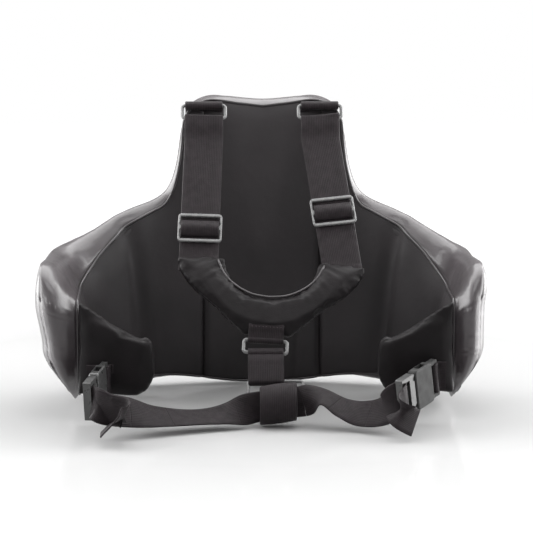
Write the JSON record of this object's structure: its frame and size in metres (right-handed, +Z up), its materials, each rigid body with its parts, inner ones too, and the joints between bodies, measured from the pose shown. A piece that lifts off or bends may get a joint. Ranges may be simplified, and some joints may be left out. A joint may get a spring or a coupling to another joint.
{
  "type": "chest protector",
  "caption": "C-shaped padded chest and belly protector with a chest flap, shoulder straps on a padded yoke, flank wings and a waist belt closed by side-release buckles.",
  "frame": {"origin": "middle of the hem's lowest line in the front wall: X = 0 is the wearer's middle plane and Z = 0 the plane the hem rests on", "axes": "+Z up along the wearer's trunk, +Y towards the strike face, +X to the wearer's right hand as seen from behind"},
  "size_m": [0.566, 0.4368, 0.3904],
  "materials": {
    "shell_leather": "satin black artificial leather with soft highlights",
    "pad_leather": "satin black artificial leather, gathered",
    "lining": "matte smooth coated lining",
    "piping": "satin black piping cord",
    "foam": "closed-cell foam",
    "webbing": "woven black webbing",
    "buckle_plastic": "satin black moulded plastic"
  },
  "bodies": {
    "shell": {"comfort_foam": "foam", "impact_foam": "foam", "outer_cover": "shell_leather", "gusset_band": "shell_leather", "lining_centre": "lining", "lining_left": "lining", "lining_right": "lining", "seam_piping": "piping", "left_ring_tab": "webbing", "right_ring_tab": "webbing", "waist_belt": "webbing"},
    "left_top_ring": {"left_top_ring": "buckle_plastic"},
    "right_top_ring": {"right_top_ring": "buckle_plastic"},
    "harness": {"left_shoulder_strap": "webbing", "right_shoulder_strap": "webbing", "yoke_back_cover": "pad_leather", "yoke_foam": "foam", "yoke_front_cover": "pad_leather", "yoke_piping": "piping", "yoke_tab": "webbing"},
    "left_slider": {"left_slider": "buckle_plastic", "left_slider_loop": "webbing"},
    "right_slider": {"right_slider": "buckle_plastic", "right_slider_loop": "webbing"},
    "centre_ring": {"upper_centre_ring": "buckle_plastic"},
    "centre_strap": {"centre_strap": "webbing"},
    "lower_ring": {"lower_centre_ring": "buckle_plastic"},
    "keeper": {"belt_keeper": "webbing"},
    "left_wing": {"left_wing_foam": "foam", "left_wing_cover": "pad_leather", "left_wing_back": "pad_leather", "left_buckle_patch": "webbing"},
    "left_socket": {"left_socket": "buckle_plastic"},
    "left_plug": {"left_plug": "buckle_plastic", "left_belt_tail": "webbing"},
    "left_upper_prong": {"left_upper_prong": "buckle_plastic"},
    "left_lower_prong": {"left_lower_prong": "buckle_plastic"},
    "right_wing": {"right_wing_foam": "foam", "right_wing_cover": "pad_leather", "right_wing_back": "pad_leather", "right_buckle_patch": "webbing"},
    "right_socket": {"right_socket": "buckle_plastic"},
    "right_plug": {"right_plug": "buckle_plastic", "right_belt_tail": "webbing"},
    "right_upper_prong": {"right_upper_prong": "buckle_plastic"},
    "right_lower_prong": {"right_lower_prong": "buckle_plastic"}
  },
  "joints": [
    {"name": "left_ring_swivel", "type": "hinge", "parent": "shell", "child": "left_top_ring", "pos_m": [-0.076, -0.05, 0.377], "axis": [1, 0, 0], "range_deg": [-11, 11]},
    {"name": "right_ring_swivel", "type": "hinge", "parent": "shell", "child": "right_top_ring", "pos_m": [0.076, -0.05, 0.377], "axis": [1, 0, 0], "range_deg": [-11, 11]},
    {"name": "harness_swing", "type": "hinge", "parent": "left_top_ring", "child": "harness", "pos_m": [-0.076, -0.06062, 0.36125], "axis": [1, 0, 0], "range_deg": [-8, 8]},
    {"name": "centre_ring_swivel", "type": "hinge", "parent": "harness", "child": "centre_ring", "pos_m": [0.0003, -0.2389, 0.09695], "axis": [0.9976, -0.039, -0.0578], "range_deg": [-10, 10]},
    {"name": "centre_strap_swivel", "type": "hinge", "parent": "centre_ring", "child": "centre_strap", "pos_m": [-0.00088, -0.24838, 0.08289], "axis": [1, 0, 0], "range_deg": [-13.5, 13.5]},
    {"name": "lower_ring_swivel", "type": "hinge", "parent": "centre_strap", "child": "lower_ring", "pos_m": [0.0115, -0.26963, 0.05139], "axis": [1, 0, 0], "range_deg": [-12.5, 12.5], "deforming": ["belt_keeper"]},
    {"name": "left_slider_slide", "type": "slide", "parent": "harness", "child": "left_slider", "axis": [0.0382, 0.5588, 0.8284], "range_m": [-0.018, 0.085]},
    {"name": "right_slider_slide", "type": "slide", "parent": "harness", "child": "right_slider", "axis": [-0.1183, 0.5553, 0.8232], "range_m": [-0.045, 0.07]},
    {"name": "keeper_slide", "type": "slide", "parent": "shell", "child": "keeper", "axis": [0.9925, 0, 0.1219], "range_m": [-0.005, 0.002], "deforming": ["waist_belt"]},
    {"name": "left_wing_fold", "type": "hinge", "parent": "shell", "child": "left_wing", "pos_m": [-0.2215, -0.275, 0.09], "axis": [0, 0, 1], "range_deg": [-25, 12], "deforming": ["waist_belt"]},
    {"name": "left_buckle_swivel", "type": "hinge", "parent": "left_wing", "child": "left_socket", "pos_m": [-0.195, -0.2915, 0.058], "axis": [-0.0365, -0.1577, 0.9868], "range_deg": [-30, 30], "deforming": ["waist_belt"]},
    {"name": "left_plug_release", "type": "slide", "parent": "left_socket", "child": "left_plug", "axis": [-0.2226, -0.9614, -0.1619], "range_m": [0, 0.032], "deforming": ["waist_belt"]},
    {"name": "left_upper_squeeze", "type": "hinge", "parent": "left_plug", "child": "left_upper_prong", "pos_m": [-0.20665, -0.3418, 0.06696], "axis": [-0.9742, 0.2256, 0], "range_deg": [0, 6]},
    {"name": "left_lower_squeeze", "type": "hinge", "parent": "left_plug", "child": "left_lower_prong", "pos_m": [-0.20539, -0.33637, 0.03301], "axis": [0.9742, -0.2256, 0], "range_deg": [0, 6]},
    {"name": "right_wing_fold", "type": "hinge", "parent": "shell", "child": "right_wing", "pos_m": [0.2215, -0.275, 0.09], "axis": [0, 0, -1], "range_deg": [-25, 12], "deforming": ["waist_belt"]},
    {"name": "right_buckle_swivel", "type": "hinge", "parent": "right_wing", "child": "right_socket", "pos_m": [0.203, -0.2935, 0.06], "axis": [-0.1274, -0.1592, 0.979], "range_deg": [-30, 30], "deforming": ["waist_belt"]},
    {"name": "right_plug_release", "type": "slide", "parent": "right_socket", "child": "right_plug", "axis": [-0.6116, -0.7645, -0.2039], "range_m": [0, 0.032], "deforming": ["waist_belt"]},
    {"name": "right_upper_squeeze", "type": "hinge", "parent": "right_plug", "child": "right_upper_prong", "pos_m": [0.17054, -0.33408, 0.06675], "axis": [-0.7809, 0.6247, 0], "range_deg": [0, 6]},
    {"name": "right_lower_squeeze", "type": "hinge", "parent": "right_plug", "child": "right_lower_prong", "pos_m": [0.17492, -0.3286, 0.03307], "axis": [0.7809, -0.6247, 0], "range_deg": [0, 6]}
  ],
  "couplings": [
    {"joint": "left_ring_swivel", "follows": "harness_swing", "ratio": -1.3333},
    {"joint": "right_ring_swivel", "follows": "harness_swing", "ratio": -1.3333},
    {"joint": "centre_ring_swivel", "follows": "harness_swing", "ratio": 1.2},
    {"joint": "centre_strap_swivel", "follows": "harness_swing", "ratio": 1.63},
    {"joint": "lower_ring_swivel", "follows": "harness_swing", "ratio": -1.5},
    {"joint": "left_lower_squeeze", "follows": "left_upper_squeeze", "ratio": 1},
    {"joint": "right_lower_squeeze", "follows": "right_upper_squeeze", "ratio": 1}
  ]
}
